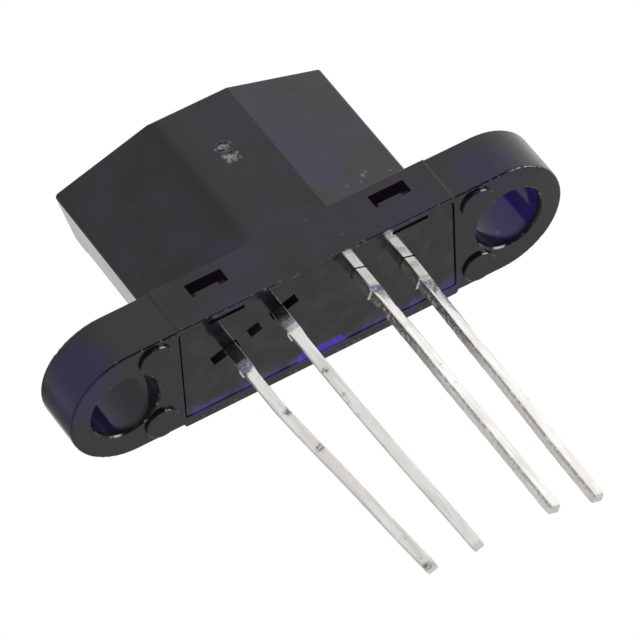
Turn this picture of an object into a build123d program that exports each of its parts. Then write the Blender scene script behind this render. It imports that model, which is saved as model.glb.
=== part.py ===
from build123d import *
from math import cos, radians, sin, tan
import os

# Reflective optical sensor for through-hole leads, with two screw ears.
# A dark infrared-passing housing holds two side-looking packages, an infrared LED and a phototransistor.
# Both are turned inwards so that their beams meet in front of the housing.
# A black insert snaps into the underside, carries both packages and keeps their light apart.
#
# Frame, in millimetres: +X along the flange, +Y towards the sensing front, +Z up.
# The origin is midway between the two screw holes, on the underside of the flange.

# Side-looking packages
package_width = 4.44
package_height = 5.72
package_thickness = 1.50
package_edge = 0.18
lens_drop = 1.42           # from the top of the package to the axis of its lens
lens_radius = 1.00
lens_reach = 0.26          # beyond the front of the package

# Upper body, a chevron in plan, drawn round the packages
facet_angle = 19.0         # each outer facet turns forward by this angle, and so does its package
rear_flat_width = 4.00
end_wall_angle = 13.3      # the end walls lean inwards, seen in plan
wall = 0.55
roof = 0.60
back_room = 0.401          # behind each package
lens_room = 0.08           # in front of each lens
end_room = 0.638           # beyond the outer end of each package
head_room = 1.29           # above each package
corner_radius = 0.22       # upright corners of the body
top_edge_radius = 0.10
valley_radius = 0.40       # where the two front facets meet
brow_height = 0.95         # the top of the front stands a little proud
brow_depth = 0.26

# Gate mark in the middle rear facet: a shallow dish with the torn stub of the runner in it
gate_x = 0.12
gate_drop = 2.99           # below the flat top
gate_diameter = 0.66
gate_depth = 0.06
stub_diameter = 0.32
stub_offset = 0.09         # the stub stands this far to the left of the dish's centre, and above it

# Two sizes that differ by less than this are the same
same_size = 0.001

# Pedestal and light baffle of the insert
seat_height = 3.20         # the packages stand on the pedestal at this height
baffle_thickness = 0.80
baffle_gap = 0.437         # from the baffle to the nearest corner of each package
cavity_clearance = 0.08

# Snap windows in the rear wall and the lugs that click into them
window_inset = 2.19        # from a rear corner of the body to the window's centre
window_width = 1.76
window_shift = 0.09        # both windows sit a little to the right
window_bottom = 1.31
window_height = 0.74
window_roof = 0.52         # left above the window in the flange
sill_rise = 0.16           # part of the sill is raised
sill_width = 1.15
sill_offset = -0.15        # to the left of the window's centre
lug_thickness = 0.48
lug_relief = 0.20          # the insert is set back here, which leaves a slit beside the rim
lug_side_clearance = 0.06
lug_top_clearance = 0.06
barb_reach = 0.34
barb_face = 0.02
barb_ledge_clearance = 0.06

# Pocket for the insert in the underside
pocket_margin = 0.08       # the pocket is this much longer than the body, at each end
rear_rim = 0.29
front_rim = 0.59
pocket_corner_radius = 0.12
insert_clearance = 0.05    # at the rear
end_clearance = 0.09
front_clearance = 0.08     # the front seam is a little wider
insert_recess = 0.03       # the insert lies this far inside the underside
insert_thickness = 1.20
notch_width = 2.30         # notch in the front edge of the insert
notch_depth = 0.38

# Flange with rounded ears
flange_width = 6.14
front_ledge = 0.12         # the straight middle of the front edge stands this much further out
ear_step = 0.04            # the ears stand back this far from the straight middle of the flange
ear_step_margin = 0.06     # the middle ends this far beyond the pocket
ear_ramp = 0.12            # the step is a short slope of this length
hole_diameter = 3.30
hole_margin = 1.083        # from the pocket to the screw hole
ear_wall = 1.015           # beyond the screw hole
hole_edge_break = 0.07
ear_edge_radius = 0.10
middle_edge_radius = 0.05
pad_diameter = 1.60        # four low round pads on the underside, beside the screw holes
pad_height = 0.15
pad_edge_break = 0.04
pad_inset = 1.60           # from a screw hole's centre towards the middle
pad_edge = 1.02            # from a long side of the flange to the pad's centre

# Leads, stamped from one strip
lead_pitch = 2.54
lead_width = 0.51
lead_thickness = 0.51
shoulder_width = 0.60      # above the dam bar
dam_bar_drop = 1.60        # below the flange
lead_hole_clearance = 0.045
slot_overrun = 0.97        # the left row has longer slots, which run on past each lead
slot_underrun = 0.39
middle_hole = 0.60         # the left row has an empty square hole between its leads
burr_width = 0.16          # burr of the sheared dam bar
burr_reach = 0.17
burr_overhang = 0.05       # beside the lead
burr_height = 0.26

# Free ends of the leads: how far below the flange each bends and ends, and how far it leans along its row
led_anode_bend = 3.60
led_anode_lean_angle = 4.1
led_anode_end = 14.70
led_cathode_bend = 6.10
led_cathode_lean_angle = 1.7
led_cathode_end = 15.20
collector_bend = 5.00
collector_lean_angle = -0.3
collector_end = 15.25
emitter_bend = 0.20
emitter_lean_angle = -1.5
emitter_end = 15.25

# Lead frame, chips and bond wires inside the packages
pad_plate_width = 1.00     # the plate that carries the chip
pad_plate_height = 1.20
frame_gap = 0.20           # between the plate and the post of the other lead
post_height = 0.60
led_chip_size = 0.34
led_chip_height = 0.20
sensor_chip_size = 0.62
sensor_chip_height = 0.24
wire_radius = 0.025
wire_sides = 6             # the fine round wire is drawn with this many flat sides
wire_rise = 0.14           # the wire's crown above the chip

# Values worked out from the sizes above
facet = radians(facet_angle)
end_wall = radians(end_wall_angle)
half_width = flange_width / 2
half_flat = rear_flat_width / 2
package_front = package_thickness / 2
package_reach = package_width / 2 * cos(facet) + package_front * sin(facet)
row_x = baffle_thickness / 2 + baffle_gap + package_reach
half_body = row_x + package_reach + end_room + wall
lead_plane_depth = wall + back_room + package_front
body_depth = lead_plane_depth + package_front + lens_reach + lens_room + wall
cavity_top = seat_height + package_height + head_room
body_height = cavity_top + roof
rear_corner_y = -half_width + (half_body - half_flat) * tan(facet)
row_y = -half_width + (row_x - half_flat) * tan(facet) + lead_plane_depth / cos(facet)
pocket_length = 2 * (half_body + pocket_margin)
hole_x = pocket_length / 2 + hole_margin + hole_diameter / 2
flange_length = 2 * (hole_x + hole_diameter / 2 + ear_wall)
ear_step_x = pocket_length / 2 + ear_step_margin
pocket_rear = -half_width + rear_rim
middle_front = half_width + front_ledge
pocket_front = middle_front - front_rim
insert_rear = pocket_rear + insert_clearance
insert_top = insert_recess + insert_thickness
window_places = [side * (half_body - window_inset) + window_shift for side in (-1, 1)]
window_top = window_bottom + window_height
flange_thickness = window_top + window_roof
lug_rear = insert_rear + lug_relief
lug_front = lug_rear + lug_thickness
lens_z = seat_height + package_height - lens_drop
lead_front = lead_thickness / 2
post_reach = lead_pitch / 2 - shoulder_width / 2 - pad_plate_width / 2 - frame_gap


def block(x0, x1, y0, y1, z0, z1):
    """A block between two corners."""
    return Pos((x0 + x1) / 2, (y0 + y1) / 2, (z0 + z1) / 2) * Box(x1 - x0, y1 - y0, z1 - z0)


def row_frame(side):
    """The frame of a lead row: X along the row, Y towards the front of its package, Z up."""
    return Pos(side * row_x, row_y, 0) * Rot(0, 0, side * facet_angle)


def chevron_outline(depth):
    """The sharp outline of the upper body in plan, for a depth from the rear facets to the front facets."""
    run = depth / cos(facet - end_wall)
    front = (half_body - run * sin(end_wall), rear_corner_y + run * cos(end_wall))
    right = [(half_flat, -half_width), (half_body, rear_corner_y), front]
    left = [(-x, y) for x, y in reversed(right)]
    valley = (0, -half_width - half_flat * tan(facet) + depth / cos(facet))
    return make_face(Polyline(*right, valley, *left, close=True).edges())


def rounded_outline(depth):
    """The same outline with its outer corners and its valley rounded."""
    face = chevron_outline(depth)
    corners = face.vertices().filter_by(lambda v: abs(v.X) > half_flat + corner_radius)
    face = fillet(corners, corner_radius)
    valley = face.vertices().filter_by(lambda v: abs(v.X) < corner_radius)
    return fillet(valley, valley_radius)


def upper_body():
    """The solid chevron block, its brow with a sloping underside, and its rounded top edges."""
    brow_foot = body_height - brow_height
    slope_foot = brow_foot - brow_depth
    trunk = extrude(rounded_outline(body_depth), slope_foot)
    low = Pos(0, 0, slope_foot) * rounded_outline(body_depth)
    high = Pos(0, 0, brow_foot) * rounded_outline(body_depth + brow_depth)
    slope = loft([low, high], ruled=True)
    brow = Pos(0, 0, brow_foot) * extrude(rounded_outline(body_depth + brow_depth), brow_height)
    brow = fillet(brow.faces().sort_by(Axis.Z)[-1].edges(), top_edge_radius)
    return trunk + slope + brow


def flange_middle():
    """The straight middle of the flange, which slopes down to the ears at its ends."""
    foot = half_width - ear_step
    top = ear_step_x - ear_ramp
    rear = [(-ear_step_x, -foot), (-top, -half_width), (top, -half_width), (ear_step_x, -foot)]
    front = [(ear_step_x, foot), (top, middle_front), (-top, middle_front), (-ear_step_x, foot)]
    middle = extrude(make_face(Polyline(*rear, *front, close=True).edges()), flange_thickness)
    long_edges = middle.edges().filter_by(Axis.X)
    return fillet(long_edges, middle_edge_radius)


def flange():
    """The straight middle and the two full-round ears, with the screw holes."""
    ears = extrude(SlotOverall(flange_length, flange_width - 2 * ear_step), flange_thickness)
    ears = fillet(ears.faces().filter_by(Axis.Z).edges(), ear_edge_radius)
    plate = ears + flange_middle()
    for side in (-1, 1):
        plate -= Pos(side * hole_x, 0, flange_thickness / 2) * Cylinder(hole_diameter / 2, flange_thickness)
    circles = plate.edges().filter_by(GeomType.CIRCLE)
    hole_rims = circles.filter_by(lambda e: abs(e.radius - hole_diameter / 2) < same_size)
    return chamfer(hole_rims, hole_edge_break)


def pads():
    """The four low pads beside the screw holes, each with its rim broken."""
    pad = Pos(0, 0, -pad_height / 2) * Cylinder(pad_diameter / 2, pad_height)
    pad = chamfer(pad.edges().sort_by(Axis.Z)[0], pad_edge_break)
    pad_x = hole_x - pad_inset
    pad_y = half_width - pad_edge
    return [Pos(x, y, 0) * pad for x in (-pad_x, pad_x) for y in (-pad_y, pad_y)]


def cavity(inset, z0, z1):
    """The chevron space inside the walls of the upper body, drawn in by a further inset."""
    face = offset(chevron_outline(body_depth), amount=-(wall + inset), kind=Kind.INTERSECTION)
    return Pos(0, 0, z0) * extrude(face, z1 - z0)


def insert_pocket():
    """The shallow pocket in the underside, with two deeper places for the snap lugs."""
    depth = pocket_front - pocket_rear
    pocket = RectangleRounded(pocket_length, depth, pocket_corner_radius)
    pocket = extrude(Pos(0, (pocket_front + pocket_rear) / 2, 0) * pocket, insert_top)
    half = window_width / 2
    for x in window_places:
        pocket += block(x - half, x + half, pocket_rear, lug_front + insert_clearance, 0, window_top)
    return pocket


def snap_window(x):
    """One window through the rear rim, with part of its sill raised."""
    half = window_width / 2
    opening = block(x - half, x + half, -half_width, pocket_rear, window_bottom, window_top)
    left = x + sill_offset - sill_width / 2
    right = x + sill_offset + sill_width / 2
    sill = block(left, right, -half_width, pocket_rear, window_bottom, window_bottom + sill_rise)
    return opening - sill


def gate_mark():
    """What the gate mark takes from the rear facet: a dish, less the stub that is left in it."""
    dish = Rot(90, 0, 0) * Cylinder(gate_diameter / 2, 2 * gate_depth)
    stub = Rot(90, 0, 0) * Cylinder(stub_diameter / 2, 2 * gate_depth)
    mark = dish - Pos(-stub_offset, 0, stub_offset) * stub
    return Pos(gate_x, -half_width, body_height - gate_drop) * mark


def housing():
    """The one-piece moulded housing: flange, ears, chevron body, pocket, cavity, windows and pads."""
    shell = flange() + upper_body()
    shell -= insert_pocket()
    shell -= cavity(0, insert_top, cavity_top)
    for x in window_places:
        shell -= snap_window(x)
    shell -= gate_mark()
    for pad in pads():
        shell += pad
    return shell


def snap_lug(x):
    """One lug: an upright tongue whose barb has a flat ledge below and a sloping lead-in above."""
    tongue_top = window_top - lug_top_clearance
    ledge = window_bottom + sill_rise + barb_ledge_clearance
    outline = Polyline(
        (lug_front, insert_recess),
        (lug_front, tongue_top),
        (lug_rear, tongue_top),
        (lug_rear - barb_reach, ledge + barb_face),
        (lug_rear - barb_reach, ledge),
        (lug_rear, ledge),
        (lug_rear, insert_recess),
        close=True,
    )
    half = window_width / 2 - lug_side_clearance
    tongue = extrude(make_face((Plane.YZ * outline).edges()), half, both=True)
    return Pos(x, 0, 0) * tongue


def lead_slots():
    """The slots and holes that let the leads through the insert and its pedestal."""
    height = seat_height + insert_recess
    fit = shoulder_width / 2 + lead_hole_clearance
    near = lead_pitch / 2 - fit
    far = lead_pitch / 2 + fit
    half_slot = lead_front + lead_hole_clearance
    slots = []
    for side in (-1, 1):
        spans = [(-far, -near), (near, far)]
        if side < 0:
            inner = lead_pitch / 2 - slot_underrun
            outer = lead_pitch / 2 + slot_overrun
            spans = [(-outer, -inner), (inner, outer)]
            spans.append((-middle_hole / 2, middle_hole / 2))
        for u0, u1 in spans:
            slots.append(row_frame(side) * block(u0, u1, -half_slot, half_slot, 0, height))
    return slots


def base_insert():
    """The black insert: plate, pedestal for both packages, light baffle and snap lugs."""
    half_length = pocket_length / 2 - end_clearance
    front = pocket_front - front_clearance
    plate = RectangleRounded(2 * half_length, front - insert_rear, pocket_corner_radius)
    plate = Pos(0, (front + insert_rear) / 2, insert_recess) * extrude(plate, insert_thickness)
    notch_back = front - notch_depth
    plate -= block(-notch_width / 2, notch_width / 2, notch_back, half_width, 0, seat_height)
    half = window_width / 2
    for x in window_places:
        plate -= block(x - half, x + half, -half_width, lug_rear, 0, seat_height)
    body = plate + cavity(cavity_clearance, insert_top, seat_height)
    for x in window_places:
        body += snap_lug(x)
    baffle = cavity(cavity_clearance, seat_height, cavity_top - cavity_clearance)
    baffle &= block(-baffle_thickness / 2, baffle_thickness / 2, -half_width, half_width, 0, body_height)
    body += baffle
    for slot in lead_slots():
        body -= slot
    return body


def lead_outline(centre, inner_side, kind, bend, lean, end):
    """The stamped outline of one lead in the plane of its row, from inside the package down to its end."""
    half = inner_side * lead_width / 2
    shoulder = inner_side * shoulder_width / 2
    half_flag = (pad_plate_height if kind == "pad" else post_height) / 2
    reach = pad_plate_width / 2 + lead_pitch / 2 if kind == "pad" else shoulder_width / 2 + post_reach
    slope = tan(radians(lean))
    at_step = slope * max(0.0, dam_bar_drop - bend)
    at_end = slope * (end - bend)
    flag = [(-shoulder, half_flag), (inner_side * reach, half_flag)]
    flag += [(inner_side * reach, -half_flag), (shoulder, -half_flag)]
    head = [(u, lens_z + z) for u, z in flag]
    step_in = [(shoulder + at_step, -dam_bar_drop), (half + at_step, -dam_bar_drop)]
    step_out = [(-half + at_step, -dam_bar_drop), (-shoulder + at_step, -dam_bar_drop)]
    ends = [(half + at_end, -end), (-half + at_end, -end)]
    if bend > dam_bar_drop:
        points = head + step_in + [(half, -bend)] + ends + [(-half, -bend)] + step_out
    else:
        points = head + [(shoulder, -bend)] + step_in + ends + step_out + [(-shoulder, -bend)]
    return [(centre + u, z) for u, z in points]


def lead(side, place, kind, bend, lean, end):
    """One lead in its row: place is -1 or 1 along the row, and kind is pad or post."""
    centre = place * lead_pitch / 2
    points = lead_outline(centre, -place, kind, bend, lean, end)
    face = make_face((Plane.XZ * Polyline(*points, close=True)).edges())
    solid = extrude(face, lead_front, both=True)
    if side > 0:
        left = centre - shoulder_width / 2 + tan(radians(lean)) * max(0.0, dam_bar_drop - bend)
        burr = block(-burr_overhang, burr_width - burr_overhang, 0, lead_front + burr_reach, 0, burr_height)
        solid += Pos(left, 0, -dam_bar_drop) * burr
    return solid


def chip(size, height):
    """A semiconductor chip bonded to the front of its plate, on the axis of the lens."""
    return block(-size / 2, size / 2, lead_front, lead_front + height, lens_z - size / 2, lens_z + size / 2)


def bond_wire(chip_height, post_side):
    """A fine wire that leaves the chip, rises in an arc and lands on the post of the other lead."""
    landing = post_side * (lead_pitch / 2 - shoulder_width / 2 - post_reach / 2)
    start = (0, lead_front + chip_height - wire_radius, lens_z)
    crown = (landing / 2, lead_front + chip_height + wire_rise, lens_z)
    end = (landing, lead_front - wire_radius, lens_z)
    path = ThreePointArc(start, crown, end)
    section = Plane(origin=path @ 0, z_dir=path % 0) * RegularPolygon(wire_radius, wire_sides)
    return sweep(section, path=path)


def package_body():
    """The moulded side-looking package with its lens, before its inner pieces are let in."""
    box = block(
        -package_width / 2, package_width / 2,
        -package_front, package_front,
        seat_height, seat_height + package_height,
    )
    box = chamfer(box.edges().filter_by(Axis.Z), package_edge)
    ball = Pos(0, package_front + lens_reach - lens_radius, lens_z) * Sphere(lens_radius)
    behind = Pos(0, -lens_radius, lens_z) * Box(2 * lens_radius, 2 * lens_radius, 2 * lens_radius)
    return box + (ball - behind)


def package_set(side, names, pad_end, post_end, chip_size, chip_height):
    """A package with its two leads, chip and bond wire, in the frame of its row."""
    body_name, pad_name, post_name, chip_name, wire_name = names
    pad_lead = lead(side, -side, "pad", *pad_end)
    post_lead = lead(side, side, "post", *post_end)
    die = chip(chip_size, chip_height)
    wire = bond_wire(chip_height, side) - die - post_lead
    body = package_body() - pad_lead - post_lead - die - wire
    pieces = {body_name: body, pad_name: pad_lead, post_name: post_lead, chip_name: die, wire_name: wire}
    return {name: row_frame(side) * piece for name, piece in pieces.items()}


def all_parts():
    """Every piece of the sensor by its node name."""
    parts = {"housing": housing(), "base_insert": base_insert()}
    led = ["led_package", "led_cathode_lead", "led_anode_lead", "led_chip", "led_bond_wire"]
    cathode = (led_cathode_bend, led_cathode_lean_angle, led_cathode_end)
    anode = (led_anode_bend, led_anode_lean_angle, led_anode_end)
    parts.update(package_set(-1, led, cathode, anode, led_chip_size, led_chip_height))
    transistor = ["package", "collector_lead", "emitter_lead", "chip", "bond_wire"]
    transistor = ["phototransistor_" + name for name in transistor]
    collector = (collector_bend, collector_lean_angle, collector_end)
    emitter = (emitter_bend, emitter_lean_angle, emitter_end)
    parts.update(package_set(1, transistor, collector, emitter, sensor_chip_size, sensor_chip_height))
    return parts


os.makedirs("parts", exist_ok=True)
for node, piece in all_parts().items():
    solid = piece.solids()
    piece = solid[0] if len(solid) == 1 else Compound(children=list(solid))
    export_step(piece, f"parts/{node}.step")
    print(node, "solids", len(solid), "volume", round(piece.volume, 4))
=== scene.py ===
# %% [markdown]
# A reflective optical sensor with two screw ears, seen from behind and below. Its housing is moulded from
# a dark filter plastic: it looks black, but where its wall is thin the light of the room comes through
# as deep violet. A black insert closes the underside, and four tinned leads stand out of it. The
# construction is already there as a fixed frame. This lesson gives each piece its finish, and replaces
# the plainest pieces, the leads, with finer ones that keep the same size and place.

# %% Load the frame and note its size
from math import cos, pi, radians, sin, tan

import bmesh
import bpy
import numpy as np
from mathutils import Euler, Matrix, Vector


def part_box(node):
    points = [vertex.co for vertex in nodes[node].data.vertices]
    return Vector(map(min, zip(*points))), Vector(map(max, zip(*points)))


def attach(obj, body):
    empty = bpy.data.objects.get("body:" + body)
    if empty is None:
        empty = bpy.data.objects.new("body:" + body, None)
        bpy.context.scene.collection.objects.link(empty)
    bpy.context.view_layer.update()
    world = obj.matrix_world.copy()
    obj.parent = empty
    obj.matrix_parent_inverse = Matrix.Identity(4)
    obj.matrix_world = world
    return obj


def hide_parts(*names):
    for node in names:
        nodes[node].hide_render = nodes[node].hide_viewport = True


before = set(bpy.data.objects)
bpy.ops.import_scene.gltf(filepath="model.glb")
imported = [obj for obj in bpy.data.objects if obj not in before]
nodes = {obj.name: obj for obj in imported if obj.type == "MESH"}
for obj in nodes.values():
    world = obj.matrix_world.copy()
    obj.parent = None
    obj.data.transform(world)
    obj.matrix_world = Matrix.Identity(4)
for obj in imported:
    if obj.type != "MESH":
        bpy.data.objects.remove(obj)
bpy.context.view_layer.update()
mm = 0.001

# %% [markdown]
# The camera stands behind the flange, below it and far off to the left, and looks up at the underside. A
# long lens flattens the view, which is why the two ears look almost equally large. The camera is rolled
# by nearly half a right angle, so that the flange climbs to the right.

# %% Camera
camera_place = Vector((-73.045, -177.372, -132.393)) * mm
camera_azimuth = radians(22.314)      # from +Y towards +X
camera_climb = radians(34.546)        # upwards
camera_roll = radians(39.342)         # clockwise, seen from behind the camera
camera_lens = 309.591                 # in millimetres
film_width = 36.0                     # in millimetres
nearest = 0.01                        # the camera sees from here, in metres
farthest = 20.0


def aim_camera():
    """A camera looking along +Y, rolled about its own axis, then tilted up, then turned about Z."""
    data = bpy.data.cameras.new("camera")
    data.lens = camera_lens
    data.sensor_width = film_width
    data.clip_start = nearest
    data.clip_end = farthest
    camera = bpy.data.objects.new("camera", data)
    turn = Euler((0, 0, -camera_azimuth)).to_matrix()
    tilt = Euler((radians(90) + camera_climb, 0, 0)).to_matrix()
    roll = Euler((0, 0, -camera_roll)).to_matrix()
    camera.matrix_world = (turn @ tilt @ roll).to_4x4()
    camera.location = camera_place
    bpy.context.scene.collection.objects.link(camera)
    bpy.context.scene.camera = camera
    return camera


camera = aim_camera()
print("camera looks along", [round(v, 4) for v in camera.matrix_world.to_3x3() @ Vector((0, 0, -1))])

# %% [markdown]
# Shader trees are easier to read when a node, its settings and its links are written in one call. A value
# that is itself a socket becomes a link, and any other value becomes the socket's own value.

# %% Helpers for node trees
def add(tree, kind, inputs=None, **settings):
    """One new node: settings are its properties, inputs its sockets by name or number."""
    made = tree.nodes.new(kind)
    for name, value in settings.items():
        setattr(made, name, value)
    for name, value in (inputs or {}).items():
        if isinstance(value, bpy.types.NodeSocket):
            tree.links.new(value, made.inputs[name])
        else:
            made.inputs[name].default_value = value
    return made


def maths(tree, operation, a, b=0.0, clamp=False):
    """The result socket of one Math node."""
    return add(tree, "ShaderNodeMath", {0: a, 1: b}, operation=operation, use_clamp=clamp).outputs[0]


def times(tree, a, b):
    """The product of two values."""
    return maths(tree, "MULTIPLY", a, b)


def times_plus(tree, a, b, c):
    """The product of a and b, plus c."""
    return add(tree, "ShaderNodeMath", {0: a, 1: b, 2: c}, operation="MULTIPLY_ADD").outputs[0]


def larger(tree, a, b):
    """The larger of two values."""
    return maths(tree, "MAXIMUM", a, b)


def root_of_squares(tree, a, b):
    """The length of an arrow that goes a along one axis and b along another."""
    return maths(tree, "SQRT", maths(tree, "ADD", maths(tree, "POWER", a, 2), maths(tree, "POWER", b, 2)))


def ramp(tree, value, low, high, to_low=0.0, to_high=1.0):
    """A smooth step: to_low below low, to_high above high."""
    inputs = {"Value": value, "From Min": low, "From Max": high, "To Min": to_low, "To Max": to_high}
    return add(tree, "ShaderNodeMapRange", inputs, interpolation_type="SMOOTHSTEP").outputs["Result"]


print("helpers:", [helper.__name__ for helper in (add, maths, times, times_plus, larger)])

# %% [markdown]
# Colours are three linear parts and an alpha. A Mix node has sockets for numbers, vectors and colours
# side by side, all called A and B, so its colour sockets are found by number. Patterns are read on Object
# coordinates: every piece sits at the origin, so these are also metres in the frame of the whole part.

# %% Helpers for colours and patterns
mix_share, mix_first, mix_second, mix_result = 0, 6, 7, 2     # socket numbers of a Mix node set to colours


def colour(red, green, blue):
    """A colour socket's value from three linear parts."""
    return (red, green, blue, 1.0)


def mix(tree, share, a, b):
    """The colour between a and b."""
    inputs = {mix_share: share, mix_first: a, mix_second: b}
    return add(tree, "ShaderNodeMix", inputs, data_type="RGBA", blend_type="MIX").outputs[mix_result]


def layered(tree, tone, layers):
    """A tone with more colours laid over it in turn, each by its own share."""
    for share, over in layers:
        tone = mix(tree, share, tone, over)
    return tone


def object_place(tree):
    """The place on the piece, in metres."""
    return add(tree, "ShaderNodeTexCoord").outputs["Object"]


def noise(tree, place, scale, detail, roughness=0.5):
    """A noise from 0 to 1 with about scale waves to the metre, and detail finer ones on top."""
    inputs = {"Vector": place, "Scale": scale, "Detail": detail, "Roughness": roughness}
    return add(tree, "ShaderNodeTexNoise", inputs).outputs["Fac"]


def stretched(tree, place, shares):
    """The place with each axis times its share: a noise on it is drawn out where the share is small."""
    return add(tree, "ShaderNodeMapping", {"Vector": place, "Scale": shares}).outputs[0]


def start_material(name):
    """A new material, its node tree, and its Principled shader."""
    material = bpy.data.materials.new(name)
    material.use_nodes = True
    return material, material.node_tree, material.node_tree.nodes["Principled BSDF"]


def feed(tree, shader, sources):
    """Links each source to the shader's socket of that name."""
    for label, source in sources.items():
        tree.links.new(source, shader.inputs[label])


print("white is", colour(1, 1, 1))

# %% [markdown]
# A glossy black thing shows hardly any colour of its own: what we see is the room mirrored in it. So the
# room matters more than the paint. Here it is one soft white sky, a little brighter on the right, dimmer
# below, and dark where the photographer and the lens stand. That dark place is what draws thin dark lines
# along the rounded edges that face us. To the camera itself the sky is plain white.

# %% Soft studio light
sky_level = 0.80
sky_tilt = 0.27                       # how much brighter towards +X
ground_light = 0.66                   # the share of light that comes from below
ground_edge = (-0.35, 0.10)           # the Z of a ray's direction where that share is whole, and ends
# Directions to each flag and panel, then its inner and outer angle in degrees, then its share or strength.
flags = [
    ((0.0, -0.72, -0.69), 30, 54, 0.88),      # the camera and whoever stands behind it
    ((-0.35, 0.75, 0.57), 8, 34, 0.62),       # in front, a little to the left
    ((0.40, 0.72, 0.50), 5, 16, 0.60),        # straight behind the part, as the camera sees it
]
panels = [
    ((0.03, 0.82, 0.57), 3, 10, 0.28),        # a brighter gap between the two front flags
    ((0.73, -0.38, -0.57), 9, 18, 8.5),       # the lamp, low on the right
]


def patch(tree, direction, centre, inner, outer):
    """1 where a ray points within the inner angle of a centre, 0 beyond the outer angle, in degrees.

    The dot product of two unit arrows is the cosine of the angle between them: it falls as they part.
    """
    inputs = {0: direction, 1: Vector(centre).normalized()}
    towards = add(tree, "ShaderNodeVectorMath", inputs, operation="DOT_PRODUCT").outputs["Value"]
    return ramp(tree, towards, cos(radians(outer)), cos(radians(inner)))


def light_world():
    """A sky brighter on the right and dimmer below, times its dark flags, plus its bright panels."""
    world = bpy.data.worlds.new("studio")
    world.use_nodes = True
    bpy.context.scene.world = world
    tree = world.node_tree
    tree.nodes.clear()
    direction = add(tree, "ShaderNodeTexCoord").outputs["Generated"]
    parts = add(tree, "ShaderNodeSeparateXYZ", {0: direction}).outputs
    light = times_plus(tree, parts["X"], sky_tilt, sky_level)
    light = times(tree, light, ramp(tree, parts["Z"], *ground_edge, ground_light, 1.0))
    for centre, inner, outer, share in flags:
        shade = patch(tree, direction, centre, inner, outer)
        light = times(tree, light, maths(tree, "SUBTRACT", 1.0, times(tree, shade, share)))
    for centre, inner, outer, strength in panels:
        shine = patch(tree, direction, centre, inner, outer)
        light = maths(tree, "ADD", light, times(tree, shine, strength))
    seen = add(tree, "ShaderNodeLightPath").outputs["Is Camera Ray"]
    inputs = {"Color": colour(1, 1, 1), "Strength": larger(tree, light, seen)}
    background = add(tree, "ShaderNodeBackground", inputs)
    add(tree, "ShaderNodeOutputWorld", {"Surface": background.outputs[0]})


light_world()
bpy.context.scene.view_settings.view_transform = "Standard"
print("world made, view transform", bpy.context.scene.view_settings.view_transform)

# %% [markdown]
# The sensor is photographed free in the air, from below. The pale floor therefore lies far under it,
# below every place a camera may stand, and it is left out of mirror images, where the sky already has its
# own lower half.

# %% Floor
floor_drop = 0.45                     # in metres, as the reach is
floor_reach = 3.0
floor_cells = 8                       # along each side
paper_tones = (colour(0.80, 0.80, 0.79), colour(0.86, 0.86, 0.85))
paper_roughness = 0.8
fibre_scale = 400.0


def lay_floor():
    """A flat square grid far below the part: each cell is a corner, its neighbours and the one across."""
    around = floor_cells + 1
    steps = np.linspace(-floor_reach, floor_reach, around)
    x, y = np.meshgrid(steps, steps)
    points = np.stack([x, y, np.full_like(x, -floor_drop)], -1).reshape(-1, 3)
    cell = np.arange(floor_cells)
    corner = cell[:, None] * around + cell[None, :]
    quads = np.stack([corner, corner + 1, corner + around + 1, corner + around], -1).reshape(-1, 4)
    data = bpy.data.meshes.new("floor")
    data.from_pydata(points.tolist(), [], quads.tolist())
    floor = bpy.data.objects.new("floor", data)
    bpy.context.scene.collection.objects.link(floor)
    floor.visible_glossy = False
    return floor


def floor_material():
    """Pale matt paper with a faint cloud of fibres."""
    material, tree, shader = start_material("pale_paper")
    fibre = noise(tree, object_place(tree), fibre_scale, 3.0)
    feed(tree, shader, {"Base Color": mix(tree, fibre, *paper_tones)})
    shader.inputs["Roughness"].default_value = paper_roughness
    return material


floor = lay_floor()
floor.data.materials.append(floor_material())
print("floor at", -floor_drop / mm, "mm")

# %% [markdown]
# Both plastics and the metal share a few effects, so each of these is a node group that is built once and
# placed in every material with its own values. A group may put out masks, tones and normals.

# %% Starting and placing a group
def start_group(name, inputs, outputs):
    """An empty shader group with named sockets. inputs gives each socket's kind and first value."""
    tree = bpy.data.node_groups.new(name, "ShaderNodeTree")
    for label, (kind, value) in inputs.items():
        socket = tree.interface.new_socket(label, in_out="INPUT", socket_type="NodeSocket" + kind)
        socket.default_value = value
    for label, kind in outputs.items():
        tree.interface.new_socket(label, in_out="OUTPUT", socket_type="NodeSocket" + kind)
    return tree, tree.nodes.new("NodeGroupInput").outputs, tree.nodes.new("NodeGroupOutput")


def use(tree, group, inputs=None):
    """A group placed in a tree with its own values."""
    return add(tree, "ShaderNodeGroup", inputs, node_tree=group).outputs


def tell(group):
    """Prints a group's name and its sockets."""
    print("group", group.name, "with", [item.name for item in group.interface.items_tree])


print("groups so far:", len(bpy.data.node_groups))

# %% [markdown]
# The first group is the skin of a moulding: polished steel leaves a very slight waviness and a finer
# grain. It could be real relief, but a bump is enough for heights of a few thousandths of a millimetre.

# %% The skin of a moulding
grain_share = 0.08                    # the height of the grain beside that of the waves
skin_height = 0.02                    # in mm


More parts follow.
